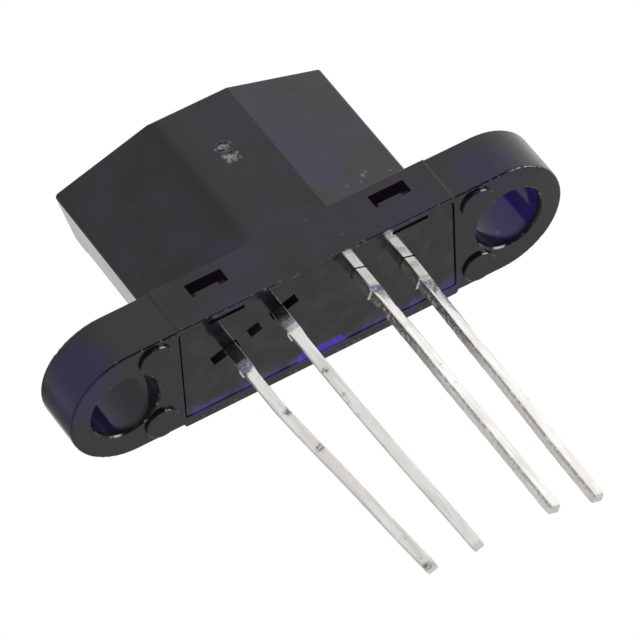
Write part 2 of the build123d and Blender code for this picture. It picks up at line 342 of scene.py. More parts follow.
def moulded_skin_group():
    """Waviness and grain as two noises of the place on the piece, added as heights under one bump.

    The waves are also put out as a tone from 0 to 1 that varies slowly over the surface.
    """
    inputs = {"Wave Scale": ("Float", 700.0), "Grain Scale": ("Float", 9000.0), "Depth": ("Float", 0.1)}
    tree, given, out = start_group("moulded_skin", inputs, {"Normal": "Vector", "Tone": "Float"})
    place = object_place(tree)
    wave = noise(tree, place, given["Wave Scale"], 2.0)
    grain = noise(tree, place, given["Grain Scale"], 3.0)
    height = times_plus(tree, grain, grain_share, wave)
    inputs = {"Height": height, "Strength": given["Depth"], "Distance": skin_height * mm}
    bump = add(tree, "ShaderNodeBump", inputs).outputs["Normal"]
    tree.links.new(bump, out.inputs["Normal"])
    tree.links.new(wave, out.inputs["Tone"])
    return tree


moulded_skin = moulded_skin_group()
tell(moulded_skin)

# %% [markdown]
# Many marks are a place with a soft edge: thin spots, scuffs, stains. One group makes them all. A squash
# below 1 along an axis makes the spot longer that way.

# %% A soft spot
spot_core = 0.25                      # the share of the radius where the spot is full


def soft_spot_group():
    """1 at a centre and 0 beyond a radius, with a smooth fall between.

    The distance is the length of the way from the centre, with each axis times its squash.
    """
    inputs = {"Centre": ("Vector", (0, 0, 0)), "Squash": ("Vector", (1, 1, 1)), "Radius": ("Float", mm)}
    tree, given, out = start_group("soft_spot", inputs, {"Mask": "Float"})
    inputs = {0: object_place(tree), 1: given["Centre"]}
    away = add(tree, "ShaderNodeVectorMath", inputs, operation="SUBTRACT").outputs[0]
    away = add(tree, "ShaderNodeVectorMath", {0: away, 1: given["Squash"]}, operation="MULTIPLY").outputs[0]
    length = add(tree, "ShaderNodeVectorMath", {0: away}, operation="LENGTH").outputs["Value"]
    share = maths(tree, "DIVIDE", length, given["Radius"])
    tree.links.new(ramp(tree, share, spot_core, 1.0, 1.0, 0.0), out.inputs["Mask"])
    return tree


soft_spot = soft_spot_group()
tell(soft_spot)


def spot(tree, centre, radius, squash=(1, 1, 1)):
    """The mask of one soft spot, its centre and radius in millimetres."""
    inputs = {"Centre": [c * mm for c in centre], "Radius": radius * mm, "Squash": squash}
    return use(tree, soft_spot, inputs)["Mask"]


# %% [markdown]
# Dust lies on everything. A Voronoi pattern gives each cell a centre and a random colour, and that colour
# decides whether the cell has a speck and how large it is.

# %% Specks of dust
def specks_group():
    """One spot in some cells of a Voronoi pattern.

    A cell is picked where its random red is below Share. A point is in the spot where its distance to the
    cell's centre is below Size times the cell's random green.
    """
    inputs = {"Scale": ("Float", 1500.0), "Size": ("Float", 0.2), "Share": ("Float", 0.1)}
    tree, given, out = start_group("specks", inputs, {"Mask": "Float"})
    inputs = {"Vector": object_place(tree), "Scale": given["Scale"]}
    cells = add(tree, "ShaderNodeTexVoronoi", inputs).outputs
    chance = add(tree, "ShaderNodeSeparateColor", {0: cells["Color"]}).outputs
    near = maths(tree, "LESS_THAN", cells["Distance"], times(tree, given["Size"], chance["Green"]))
    picked = maths(tree, "LESS_THAN", chance["Red"], given["Share"])
    tree.links.new(times(tree, near, picked), out.inputs["Mask"])
    return tree


specks = specks_group()
tell(specks)

# %% [markdown]
# Along the front seam, light falls through the thin wall of the housing onto the edge of the insert. It
# is brightest in the small notch in the middle and broken up elsewhere. Real light through real plastic
# would need a very fine simulation, so the glow is a mask that both plastics use for a little light of
# their own.

# %% The glow of the seam
seam_y = 2.57                         # between housing and insert, in mm as all that follows
seam_core = 0.04                      # full glow on each side of the seam
seam_reach = (6.50, 6.85)             # along X it fades out here
seam_lip = (0.01, 0.06)               # the height where the flat underside becomes the wall
seam_fade = (0.2, 2.4)                # up the wall it fades out here
notch_half = 1.15
notch_edge = 0.20
notch_whole = 0.70                    # the glow in the notch is at least this whole
run_scale = 1500.0                    # waves to the metre of the breaks along the seam
patch_scale = 1300.0
glow_patch_place = (6.35, 2.45, 0.0)       # a violet patch of painted glow at the right end of the seam
glow_patch_fall = (0.2, 0.95)
glow_patch_share = 0.22


def seam_breaks(tree, place):
    """From 0.1 to 1 along the seam: a noise drawn out along Y and Z, times larger patches."""
    along = noise(tree, stretched(tree, place, (1, 0.15, 0.15)), run_scale, 3.0)
    patches = noise(tree, place, patch_scale, 4.0)
    return times(tree, ramp(tree, along, 0.38, 0.62, 0.30, 1.0), ramp(tree, patches, 0.36, 0.58, 0.35, 1.0))


def seam_glow_group():
    """A band along the front seam of the insert, broken up along X and brighter in the notch.

    The mask is a smooth fall with the distance in Y from the seam, times a share for the flat underside or
    a fade up the wall, times the breaks, times a boost where X lies within the notch, plus a patch of glow
    at the right end.
    """
    inputs = {"Notch Boost": ("Float", 4.0), "Face": ("Float", 0.14), "Reach": ("Float", 0.34 * mm)}
    tree, given, out = start_group("seam_glow", inputs, {"Mask": "Float"})
    place = object_place(tree)
    parts = add(tree, "ShaderNodeSeparateXYZ", {0: place}).outputs
    off = maths(tree, "ABSOLUTE", maths(tree, "SUBTRACT", parts["Y"], seam_y * mm))
    band = ramp(tree, off, seam_core * mm, given["Reach"], 1.0, 0.0)
    low = ramp(tree, parts["Z"], seam_lip[0] * mm, seam_lip[1] * mm, given["Face"], 1.0)
    low = times(tree, low, ramp(tree, parts["Z"], seam_fade[0] * mm, seam_fade[1] * mm, 1.0, 0.0))
    along = maths(tree, "ABSOLUTE", parts["X"])
    inside = ramp(tree, along, seam_reach[0] * mm, seam_reach[1] * mm, 1.0, 0.0)
    notch = ramp(tree, along, notch_half * mm, (notch_half + notch_edge) * mm, 1.0, 0.0)
    broken = larger(tree, seam_breaks(tree, place), times(tree, notch, notch_whole))
    boost = times(tree, notch, maths(tree, "SUBTRACT", given["Notch Boost"], 1.0))
    mask = times(tree, times(tree, band, low), times(tree, inside, broken))
    mask = times(tree, mask, maths(tree, "ADD", boost, 1.0))
    inputs = {0: place, 1: Vector(glow_patch_place) * mm}
    away = add(tree, "ShaderNodeVectorMath", inputs, operation="DISTANCE").outputs["Value"]
    painted_violet = ramp(tree, away, glow_patch_fall[0] * mm, glow_patch_fall[1] * mm, glow_patch_share, 0.0)
    tree.links.new(maths(tree, "ADD", mask, painted_violet), out.inputs["Mask"])
    return tree


seam_glow = seam_glow_group()
tell(seam_glow)

# %% [markdown]
# The housing is an infrared filter. Its dye swallows visible light but lets a little violet pass, so
# thick walls are black and thin ones glow: round the screw holes, beside the ears, and in the front wall
# of the pocket. That glow is painted, each place a soft spot or a band on the piece's own coordinates.

# %% Where the housing is thin
hole_x = 9.525
hole_radius = 1.65
hole_skin = 0.03                      # how deep behind the hole's wall its finish reaches
hole_fade = (0.15, 0.50)              # the wall's violet starts at these heights
thin_side = (-1.4, 1.2)               # from the thick side of a hole to its thin side, along X
thick_share = 0.12                    # what is left of the violet on the thick side
hole_glow_shares = {-1: 0.36, 1: 1.0}      # left and right
# Centre, radius, squash and share of each thin place, where violet glow is painted.
painted_glow_spots = [
    ((-11.3, -2.3, 0.8), 2.3, (1, 0.6, 0.9), 1.0),        # the end of the left ear
    ((8.9, -3.01, 0.9), 2.1, (1, 0.5, 1.2), 0.62),        # the side of the right ear
    ((-4.4, -3.07, 0.35), 1.3, (0.7, 1, 1.4), 0.30),      # under the two snap windows
    ((4.5, -3.07, 0.35), 1.3, (0.7, 1, 1.4), 0.30),
    ((3.7, -2.5, 6.6), 2.6, (1, 1, 0.7), 0.12),           # the right outer facet
    ((2.7, -2.80, 7.0), 1.3, (1, 1, 0.8), 0.55),
    ((3.0, -2.72, 4.8), 1.6, (1, 1, 0.8), 0.55),
    ((5.8, -1.55, 6.7), 0.6, (1, 1, 1), 0.20),
    ((-2.74, -2.77, 5.96), 0.60, (1, 1, 1), 0.20),        # the left outer facet
    ((-5.1, -1.82, 6.87), 0.50, (1, 1, 1), 0.20),
    ((-3.05, -2.64, 3.4), 0.90, (1, 1, 1), 0.15),
]
pale_spots = [
    ((12.1, -0.6, 0.0), 2.4, (1, 0.7, 1), 0.7),           # the paler end of the right ear
]


def hole_glow_mask(tree, parts, side):
    """The painted glow on the wall of one screw hole, stronger on the side of the thin end of the ear.

    A point is in it where its distance from the hole's axis is at most the radius. The mask fades in above
    the lower rim, and grows from the thick side of the ear to the thin one.
    """
    along = maths(tree, "SUBTRACT", parts["X"], side * hole_x * mm)
    far = root_of_squares(tree, along, parts["Y"])
    wall = maths(tree, "LESS_THAN", far, (hole_radius + hole_skin) * mm)
    wall = times(tree, wall, ramp(tree, parts["Z"], hole_fade[0] * mm, hole_fade[1] * mm))
    outwards = times(tree, along, side)
    return times(tree, wall, ramp(tree, outwards, thin_side[0] * mm, thin_side[1] * mm, thick_share, 1.0))


print("thin places:", len(painted_glow_spots), "worn places:", len(pale_spots))

# %% [markdown]
# A moulding carries the marks of its making. On the middle facet the gate was twisted off, which left a
# dull dish, two dimples and a ring of scuffs. Handling adds scuffs at the foot of the right facet and
# wears the lower rims pale. Such marks are too small to model one by one, so they are spots broken up by
# noise.

# %% Marks of moulding and wear
facet_y = -3.07                       # the plane of the middle facet
# X, Z, radius and share of each light scuff round the gate mark.
gate_scuffs = [
    (-0.07, 7.91, 0.18, 1.0), (-0.24, 7.89, 0.13, 0.8), (0.20, 8.00, 0.20, 1.0), (0.38, 7.91, 0.16, 0.9),
    (0.12, 7.78, 0.14, 0.7), (-0.15, 7.37, 0.18, 0.9), (0.01, 7.25, 0.22, 1.0), (0.22, 7.18, 0.20, 1.0),
    (0.42, 7.28, 0.14, 0.7), (-0.09, 7.03, 0.18, 0.8), (0.18, 6.98, 0.16, 0.7), (0.44, 6.99, 0.12, 0.5),
]
# The same at the foot of the right facet, which is slanted, so each has a whole centre.
facet_scuffs = [
    ((4.61, -2.10, 3.89), 0.20, 0.6), ((4.85, -2.01, 4.10), 0.15, 0.7), ((5.94, -1.62, 3.88), 0.15, 1.0),
    ((5.70, -1.71, 3.80), 0.12, 0.6), ((3.57, -2.48, 3.49), 0.12, 0.4), ((4.30, -2.20, 3.55), 0.15, 0.5),
]
gate_dish = ((0.12, facet_y, 7.85), 0.46)
dish_share = 0.20
gate_pits = [(0.30, 7.66, 0.13), (0.22, 7.44, 0.16)]      # dimples between the scuffs, painted dark as shade: X, Z, radius
scratch_scale = 15000.0
ear_radius = 3.00
# Radius and half width of each worn rim, about the axis of its screw hole.
worn_rims = {"ear": (ear_radius, 0.13), "hole": (hole_radius + 0.05, 0.11)}
rim_core = 0.3                        # the share of the half width where the wear is full
rim_height = (0.03, 0.14)
chip_scale = 4200.0


def scuff_mask(tree):
    """All the scuffs, broken into fine scratches by a noise, over the dull dish of the gate mark."""
    scuffs = [((x, facet_y, z), radius, share) for x, z, radius, share in gate_scuffs]
    total = 0.0
    for centre, radius, share in scuffs + facet_scuffs:
        total = maths(tree, "ADD", total, times(tree, spot(tree, centre, radius), share))
    scratches = noise(tree, object_place(tree), scratch_scale, 2.0)
    fine = maths(tree, "MULTIPLY", total, ramp(tree, scratches, 0.42, 0.58, 0.05, 1.0), clamp=True)
    return larger(tree, fine, times(tree, spot(tree, *gate_dish), dish_share))


def pit_shade_mask(tree):
    """The dimples of the gate mark, painted dark as shade."""
    total = 0.0
    for x, z, radius in gate_pits:
        total = larger(tree, total, spot(tree, (x, facet_y, z), radius))
    return total


def rim_mask(tree, parts):
    """Fine wear on the lower rims: the outlines of the ears and of the screw holes, broken up by a noise.

    A hole's rim is a circle about its axis. An ear's outline is also a circle beyond the axis, and a
    straight line on the body's side of it, so its distance leaves out X where that points to the body.
    """
    along = maths(tree, "SUBTRACT", maths(tree, "ABSOLUTE", parts["X"]), hole_x * mm)
    beyond = larger(tree, along, 0.0)
    distances = {
        "ear": root_of_squares(tree, beyond, parts["Y"]),
        "hole": root_of_squares(tree, along, parts["Y"]),
    }
    total = 0.0
    for rim, (radius, width) in worn_rims.items():
        off = maths(tree, "ABSOLUTE", maths(tree, "SUBTRACT", distances[rim], radius * mm))
        total = larger(tree, total, ramp(tree, off, rim_core * width * mm, width * mm, 1.0, 0.0))
    low = ramp(tree, parts["Z"], rim_height[0] * mm, rim_height[1] * mm, 1.0, 0.0)
    chips = noise(tree, object_place(tree), chip_scale, 5.0, 0.65)
    return times(tree, times(tree, total, low), ramp(tree, chips, 0.56, 0.66))


print("scuffs:", len(gate_scuffs) + len(facet_scuffs), "dimples:", len(gate_pits), "rims:", len(worn_rims))

# %% [markdown]
# On the real moulding the corner between the left and middle facets is soft: the middle facet starts to
# bend half a millimetre before it. The frame's corner is sharp. A bevel would change the frame, and a
# bump would need a step in its height somewhere, so here the normal itself leans over in a narrow strip.

# %% A soft corner
corner_x = -1.97                      # where the left and middle facets meet
corner_strip = 0.62                   # how far the soft corner reaches into the middle facet
corner_turn = 0.46                    # how far the normal leans over at the corner, as a tangent
corner_spare = 0.15                   # the strip starts this far past the corner, in the facet's plane
facet_skin = 0.01                     # a point less than this behind the facet's plane belongs to it
corner_foot = (2.6, 3.1)              # the lean starts at these heights, above the flange


def soft_corner(tree, parts, normal):
    """The normal, leaning towards the left facet in a strip beside the corner, as on a rounded edge.

    The lean falls smoothly from corner_turn at the corner to 0 at the far side of the strip. It is taken
    off the normal's X, and the sum is brought back to length 1.
    """
    lean = ramp(tree, parts["X"], corner_x * mm, (corner_x + corner_strip) * mm, corner_turn, 0.0)
    lean = times(tree, lean, maths(tree, "GREATER_THAN", parts["X"], (corner_x - corner_spare) * mm))
    lean = times(tree, lean, maths(tree, "LESS_THAN", parts["Y"], (facet_y + facet_skin) * mm))
    lean = times(tree, lean, ramp(tree, parts["Z"], corner_foot[0] * mm, corner_foot[1] * mm, 0.0, -1.0))
    leant = add(tree, "ShaderNodeCombineXYZ", {"X": lean}).outputs[0]
    leant = add(tree, "ShaderNodeVectorMath", {0: normal, 1: leant}, operation="ADD").outputs[0]
    return add(tree, "ShaderNodeVectorMath", {0: leant}, operation="NORMALIZE").outputs[0]


print("the soft corner covers mm of X:", corner_x, "to", round(corner_x + corner_strip, 2))

# %% [markdown]
# Now the layers go on, from the bottom up: the dye with its clouds and a painted shade beside the soft
# corner, the greyer ears, the painted violet glow of the thin places, the paler end, the painted glow of
# the holes, then wear and the dimples, painted dark as shade. As if light strayed inside the plastic and
# filled its dark places, the material also gives off a painted trace of light, with the seam's glow mixed
# in.

# %% The infrared filter plastic
plastic_ior = 1.52
dye_tones = (colour(0.0038, 0.0004, 0.0036), colour(0.0050, 0.0010, 0.0066))
cloud_violet = colour(0.0090, 0.0050, 0.0260)
cloud_dark_and_shade = colour(0.0004, 0.0003, 0.0001)
ear_grey = colour(0.0026, 0.0024, 0.0014)
painted_glow_violet = colour(0.004, 0.0005, 0.060)
paler_end = colour(0.026, 0.023, 0.024)
hole_painted_glow = colour(0.030, 0.016, 0.20)
scratched = colour(0.42, 0.42, 0.45)
dimple_painted_shade = colour(0.0003, 0.0003, 0.0010)
# Colours of the painted trace of light that the plastics give off.
stray_light = colour(0.0034, 0.0026, 0.0040)
stray_dark_and_shade = colour(0.0014, 0.0012, 0.0008)
stray_ear = colour(0.0030, 0.0027, 0.0026)
seam_violet = colour(0.11, 0.08, 0.55)
cloud_scale = 520.0
corner_shade = (0.1, 1.7)             # beside the soft corner a shade is painted darker, fading over this
shade_foot = (3.0, 4.0)
ear_fade = (5.0, 8.5)                 # the ears are greyer, from here to here along X
ear_share = 0.8
housing_roughness = (0.09, 0.14)
dust_share = 0.3
rim_share = 0.35
worn_roughness = 0.4                  # added where the surface is worn
housing_glow = 0.32                   # of the seam's glow


def dark_clouds_and_shade(tree, parts, cloud):
    """Where the dye is densest, the low parts of the cloud, and a band of painted shade beside the soft
    corner.
    """
    off = maths(tree, "ABSOLUTE", maths(tree, "SUBTRACT", parts["X"], corner_x * mm))
    painted_corner_shade = ramp(tree, off, corner_shade[0] * mm, corner_shade[1] * mm, 1.0, 0.0)
    painted_corner_shade = times(tree, painted_corner_shade, ramp(tree, parts["Z"], shade_foot[0] * mm, shade_foot[1] * mm))
    return larger(tree, ramp(tree, cloud, 0.36, 0.47, 1.0, 0.0), painted_corner_shade)


def wear_mask(tree, parts):
    """Dust, scuffs and worn rims in one mask: at each point the strongest of the three."""
    dust = use(tree, specks, {"Scale": 1170.0, "Size": 0.12, "Share": 0.03})["Mask"]
    worn = larger(tree, times(tree, dust, dust_share), scuff_mask(tree))
    return larger(tree, worn, times(tree, rim_mask(tree, parts), rim_share))


def infrared_plastic():
    """Near-black, glossy, with violet glow painted where light comes through, and painted shade beside the
    soft corner.
    """
    material, tree, shader = start_material("infrared_filter_plastic")
    place = object_place(tree)
    parts = add(tree, "ShaderNodeSeparateXYZ", {0: place}).outputs
    skin = use(tree, moulded_skin, {"Depth": 0.25})
    cloud = noise(tree, place, cloud_scale, 4.0)
    dark = dark_clouds_and_shade(tree, parts, cloud)
    away = maths(tree, "ABSOLUTE", parts["X"])
    ear = ramp(tree, away, ear_fade[0] * mm, ear_fade[1] * mm, 0.0, ear_share)
    worn = wear_mask(tree, parts)
    pit_shade = pit_shade_mask(tree)
    layers = [(ramp(tree, cloud, 0.50, 0.66, 0.0, 0.8), cloud_violet), (times(tree, dark, 0.9), cloud_dark_and_shade)]
    layers += [(ear, ear_grey)]
    # The painted violet glow of the thin places, the paler end, then the painted glow of the hole walls.
    for spots, over in ((painted_glow_spots, painted_glow_violet), (pale_spots, paler_end)):
        for centre, radius, squash, share in spots:
            layers += [(times(tree, spot(tree, centre, radius, squash), share), over)]
    for side, share in hole_glow_shares.items():
        layers += [(times(tree, hole_glow_mask(tree, parts, side), share), hole_painted_glow)]
    layers += [(worn, scratched), (pit_shade, dimple_painted_shade)]
    seam = use(tree, seam_glow, {"Notch Boost": 2.6})["Mask"]
    # The emission is painted light: a trace everywhere, less in the dark clouds and the painted corner
    # shade, more on the ears, plus the seam's painted glow.
    lights = [(dark, stray_dark_and_shade), (ear, stray_ear), (times(tree, seam, housing_glow), seam_violet)]
    rough = ramp(tree, skin["Tone"], 0.3, 0.7, *housing_roughness)
    feed(tree, shader, {
        "Base Color": layered(tree, mix(tree, skin["Tone"], *dye_tones), layers),
        "Emission Color": layered(tree, stray_light, lights),
        "Roughness": maths(tree, "ADD", rough, times(tree, larger(tree, worn, pit_shade), worn_roughness)),
        "Normal": soft_corner(tree, parts, skin["Normal"]),
    })
    shader.inputs["Emission Strength"].default_value = 1.0
    shader.inputs["IOR"].default_value = plastic_ior
    return material


housing_finish = infrared_plastic()
print(housing_finish.name, "has", len(housing_finish.node_tree.nodes), "nodes")

# %% [markdown]
# The insert is an ordinary black plastic with soot in it, so no light comes through it anywhere. Its
# moulding is a little cloudier than the housing's. Only its front edge and the rim of its face catch the
# violet that falls through the housing, which is the same glow with other values. Like the housing, it also
# gives off a painted trace of light that lifts its dark places, less in its dark clouds.

# %% The black insert plastic
soot_tones = (colour(0.0020, 0.0002, 0.0010), colour(0.0048, 0.0016, 0.0034))
soot_pale = colour(0.0160, 0.0150, 0.0120)
soot_dark = colour(0.0002, 0.0002, 0.0002)
dust_grey = colour(0.2, 0.2, 0.2)
insert_stray_dark = colour(0.0016, 0.0012, 0.0018)
insert_cloud_scale = 800.0
insert_roughness = (0.08, 0.13)
insert_glow = 0.30                    # of the seam's glow


def insert_plastic():
    """Black and glossy, with pale and dark clouds, dust, the painted violet glow of the seam on its front
    edge, and a painted trace of light.
    """
    material, tree, shader = start_material("black_insert_plastic")
    skin = use(tree, moulded_skin, {"Depth": 0.2, "Wave Scale": 500.0})
    cloud = noise(tree, object_place(tree), insert_cloud_scale, 4.0)
    dark = ramp(tree, cloud, 0.40, 0.50, 1.0, 0.0)
    dust = use(tree, specks, {"Scale": 1340.0, "Size": 0.13, "Share": 0.05})["Mask"]
    layers = [
        (ramp(tree, cloud, 0.50, 0.62, 0.0, 0.9), soot_pale),
        (dark, soot_dark),
        (times(tree, dust, 0.4), dust_grey),
    ]
    seam = use(tree, seam_glow, {"Notch Boost": 1.2, "Face": 0.80, "Reach": 0.58 * mm})["Mask"]
    # The emission is a painted trace of light, less in the dark clouds, plus the seam's painted glow.
    lights = [(dark, insert_stray_dark), (times(tree, seam, insert_glow), seam_violet)]
    feed(tree, shader, {
        "Base Color": layered(tree, mix(tree, skin["Tone"], *soot_tones), layers),
        "Emission Color": layered(tree, stray_light, lights),
        "Roughness": ramp(tree, skin["Tone"], 0.3, 0.7, *insert_roughness),
        "Normal": skin["Normal"],
    })
    shader.inputs["Emission Strength"].default_value = 1.0
    shader.inputs["IOR"].default_value = plastic_ior
    return material


insert_finish = insert_plastic()
print(insert_finish.name, "has", len(insert_finish.node_tree.nodes), "nodes")

# %% [markdown]
# The leads are stamped from one flat strip and tinned, so each is a straight bar with a flag at its head,
# where the chip or its wire is bonded. A stretched cube would look like a ruler: its edges are too sharp
# and its end too square. Here a rounded rectangle is carried down the lead. Each row of the grid is one
# section, and its width, its lean and its place change with the height, so one surface makes the flag,
# the shoulder, the torn rib where the dam bar was sheared off, the bend and the cut tip.

# %% Sizes of the leads
row_place = (3.180, -0.865)           # of each row of two leads, in mm from the middle of the flange
row_turn = radians(19.0)
half_pitch = 1.27
half_thick = 0.255
half_narrow = 0.255
half_wide = 0.30                      # above the dam bar
dam_bar = 1.60                        # below the flange
shoulder = (-0.40, 0.10)              # from the dam bar, where the lead grows from narrow to wide
rib_foot = (0.18, 0.21)               # above the dam bar: where the torn rib starts and is full
rib_head = (0.35, 0.38)               # where it starts to end and ends
rib_out = 0.07                        # how far it stands out sideways and backwards
rib_back = 0.10
lens_height = 7.50                    # the flags are centred on the lens
flag_step = 0.0001                    # height of the ledge under a flag
edge_radius = 0.055
edge_waver = 0.25                     # the share by which the edge radius swells and shrinks along the lead
bend_round = 0.20
sway = 0.012                          # no lead is quite straight
tip_length = 0.20                     # the last stretch, squeezed by the cutter
tip_narrowing = 0.16
tip_thinning = 0.30
torn_share = {-1: 0.35, 1: 1.0}       # how torn the stamped sides are, on the left and right of the part
reflection_top = (-0.30, -0.16)            # the band of painted violet reflection starts and is full here, beside its own depth
reflection_foot = (0.12, 0.24)             # and fades out here
dull_from = {-1: (1.8, 2.6), 1: (4.5, 8.0)}     # below the flange, where the stamped sides grow dull
pad_flag = (1.77, 0.60)               # reach from the lead's axis, and half height
post_flag = (0.57, 0.30)
# Side of the part, seat in the row, flag, where the lead bends, its lean in degrees, its end, and how far
# below the flange the violet reflection is painted.
lead_table = {
    "led_anode_lead": (-1, -1, post_flag, 3.60, 4.1, 14.70, 1.40),
    "led_cathode_lead": (-1, 1, pad_flag, 6.10, 1.7, 15.20, 0.98),
    "phototransistor_collector_lead": (1, -1, pad_flag, 5.00, -0.3, 15.25, 1.42),
    "phototransistor_emitter_lead": (1, 1, post_flag, 0.20, -1.5, 15.25, 1.78),
}
print("leads end below the flange at mm:", [row[5] for row in lead_table.values()])

# %% [markdown]
# The section of a lead is a square of half a millimetre with rounded corners. Its points could lie evenly
# round it, but the corners need more of them than the flats to stay round. The rows are closer together
# too where the lead changes quickly: at the flag, at the rib and at the tip.

# %% A section and its rows
def rounded_section(corner_steps=5, flat_steps=5):
    """Points round a rounded rectangle: the corner each point belongs to, and the direction of its radius.

    On an arc the corner stays and the direction turns through a right angle. On a flat the direction stays
    and the place moves from one corner to the next.
    """
    corners = np.array([(1, 1), (-1, 1), (-1, -1), (1, -1)], float)
    turn = np.linspace(0, pi / 2, corner_steps)
    share = np.linspace(0, 1, flat_steps + 2)[1:-1, None]
    places, directions = [], []
    for number, corner in enumerate(corners):
        following = corners[(number + 1) % 4]
        places += [np.repeat(corner[None], corner_steps, 0), corner + share * (following - corner)]
        angle = turn + number * pi / 2
        arc = np.stack([np.cos(angle), np.sin(angle)], -1)
        directions += [arc, np.repeat(arc[-1:], flat_steps, 0)]
    return np.concatenate(places), np.concatenate(directions)


def row_heights(flag_half, end):
    """Heights of the rows from the flag's top to the tip, close together where the section changes."""
    top = lens_height + flag_half
    foot = lens_height - flag_half
    parts = [
        [top, top - edge_radius, foot + flag_step, foot],                         # the flag
        np.linspace(foot - 0.02, 0.2, 12),                                        # inside the housing
        np.linspace(0.0, -dam_bar + 0.40, 6),                                     # out of the insert
        -dam_bar + np.array([0.38, 0.35, 0.28, 0.21, 0.18, 0.10, 0.0, -0.08]),    # the rib and the shoulder
        np.linspace(-dam_bar - 0.15, -end + tip_length + 0.1, 52),                # the shaft
        -end + tip_length * np.array([1.0, 0.8, 0.6, 0.4, 0.25, 0.12, 0.05, 0.0]),
    ]
    return np.concatenate(parts)


print("points round one section:", len(rounded_section()[0]), "rows:", len(row_heights(0.3, 15.0)))

# %% [markdown]
# Each of these functions works on a whole column of heights at once. Where the height meets the points
# round a section, numpy spreads both into a grid of rows by points, so no loop goes over the vertices.

# %% How a lead changes with its height
def smooth(value, low, high):
    """0 below low, 1 above high, and between them 3 t squared less 2 t cubed of the share t of the way."""
    share = np.clip((value - low) / (high - low), 0, 1)
    return share * share * (3 - 2 * share)


def lead_reach(z, seat, flag):
    """How far the lead reaches to its left and right: the flag on the inner side, else half its width."""
    widening = smooth(z, -dam_bar + shoulder[0], -dam_bar + shoulder[1])
    half = half_narrow + (half_wide - half_narrow) * widening
    inner = np.where(z > lens_height - flag[1] + flag_step / 2, flag[0], half)
    return np.where(seat < 0, half, inner), np.where(seat < 0, inner, half)


def lead_shift(z, side, seat, bend, lean):
    """How far the middle has moved along its row: the tangent of the lean times the depth, and a slow sway.

    The depth starts at the bend, and is rounded there as the root of its square plus a small one.
    """
    depth = np.maximum(0.0, -z - bend)
    depth = np.where(depth > 0, np.sqrt(depth * depth + bend_round ** 2) - bend_round, 0.0)
    return tan(radians(lean)) * depth + sway * np.sin(0.9 * z + 2.0 * seat + side) * smooth(-z, 2.0, 5.0)


def rib_share(z):
    """1 in the torn rib above the dam bar and 0 elsewhere, with short flanks."""
    rise = smooth(z, -dam_bar + rib_foot[0], -dam_bar + rib_foot[1])
    return rise * (1 - smooth(z, -dam_bar + rib_head[0], -dam_bar + rib_head[1]))


print("rib at", [float(rib_share(-dam_bar + height)) for height in (0.1, 0.3, 0.5)])

# %% [markdown]
# Now the section and the heights come together. On the real sensor each row of leads is turned in plan,
# because it follows its package. The shape is therefore worked out along the row first, and turned last.

# %% One lead as a surface
def lead_points(side, seat, flag, bend, lean, end):
    """Points of one lead in metres, as an array of rows by section points.

    Each point is the middle of its row, plus its corner times the half size less the edge radius, plus the
    direction times the radius. The rib adds to the points on the left. Then the row is turned into place.
    """
    corner, direction = rounded_section()
    z = row_heights(flag[1], end)[:, None]
    left, right = lead_reach(z, seat, flag)
    middle = lead_shift(z, side, seat, bend, lean) + (right - left) / 2
    squeeze = smooth(-z, end - tip_length, end + tip_length)
    half_u = (right + left) / 2 * (1 - tip_narrowing * squeeze)
    half_v = half_thick * (1 - tip_thinning * squeeze)
    radius = edge_radius * (1 + edge_waver * np.sin(7.0 * z) * smooth(-z, 1.0, 2.0))
    u = middle + corner[:, 0] * (half_u - radius) + direction[:, 0] * radius
    v = corner[:, 1] * (half_v - radius) + direction[:, 1] * radius
    leftward = rib_share(z) * np.clip(-direction[:, 0], 0, 1) * (corner[:, 0] < 0)
    u = u - rib_out * leftward + seat * half_pitch
    v = v + rib_back * leftward * (corner[:, 1] > 0) * (direction[:, 1] > 0.3)
    turn = side * row_turn
    x = side * row_place[0] + cos(turn) * u - sin(turn) * v
    y = row_place[1] + sin(turn) * u + cos(turn) * v
    return np.stack([x, y, z + 0 * x], -1) * mm


def lead_marks(side, flag, end, painted_violet):
    """How sheared, torn, dull and painted with violet reflection each point of one lead is, from 0 to 1.

    The stamped sides, whose direction points along the row, are sheared, and so are the cut end and the
    rib. Their back half is torn. A violet reflection is painted on the rolled faces in a band below the
    flange, and the sheared sides grow dull below it, where the molten tin didn't reach them.
    """
    corner, direction = rounded_section()
    z = row_heights(flag[1], end)[:, None]
    sheared = np.clip(np.abs(direction[:, 0]) * 1.4 - 0.4, 0, 1) + 0 * z
    torn = sheared * (1 - smooth(corner[:, 1], -0.9, -0.2)) * torn_share[side]
    painted_reflection = smooth(-z, painted_violet + reflection_top[0], painted_violet + reflection_top[1])
    painted_reflection = painted_reflection * (1 - smooth(-z, painted_violet + reflection_foot[0], painted_violet + reflection_foot[1])) * (1 - sheared)
    sheared = np.maximum(sheared, smooth(-z, end - 0.03, end - 0.01))
    dull = sheared * smooth(-z, *dull_from[side])
    return {"sheared": np.maximum(sheared, rib_share(z)), "torn": torn, "painted_reflection": painted_reflection, "dull": dull}


first = lead_points(*lead_table["led_anode_lead"][:6])
print("one lead is", first.shape[0], "rows of", first.shape[1], "points")

# %% [markdown]
# The grid becomes a mesh with one quad between each pair of points and the pair below, and one face at
# each end, so the surface is closed. The marks go onto the points as attributes, which the material reads
# later.

# %% The four leads
sharp_edge = radians(40)              # edges that turn more than this stay sharp in the shading


